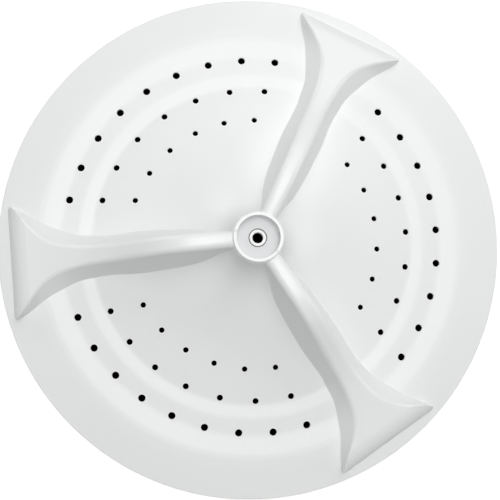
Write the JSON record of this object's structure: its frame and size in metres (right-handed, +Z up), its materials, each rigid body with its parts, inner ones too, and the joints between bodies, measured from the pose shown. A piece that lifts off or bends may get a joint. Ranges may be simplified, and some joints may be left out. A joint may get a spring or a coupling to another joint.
{
  "type": "washing machine pulsator",
  "caption": "Wash plate of a top-loading washing machine: shallow perforated dish with a tall central hub and hollow vanes that widen into fishtails at the rim, driven by a splined socket.",
  "frame": {"origin": "on the hub's axis in the plane of the rim's lower edge", "axes": "+Z up along the hub's axis, towards the water side; the first vane runs out along +Y"},
  "size_m": [0.506, 0.506, 0.103],
  "materials": {
    "white_plastic": "white polypropylene, satin to gloss as moulded"
  },
  "bodies": {
    "root": {"pulsator": "white_plastic"}
  },
  "joints": []
}
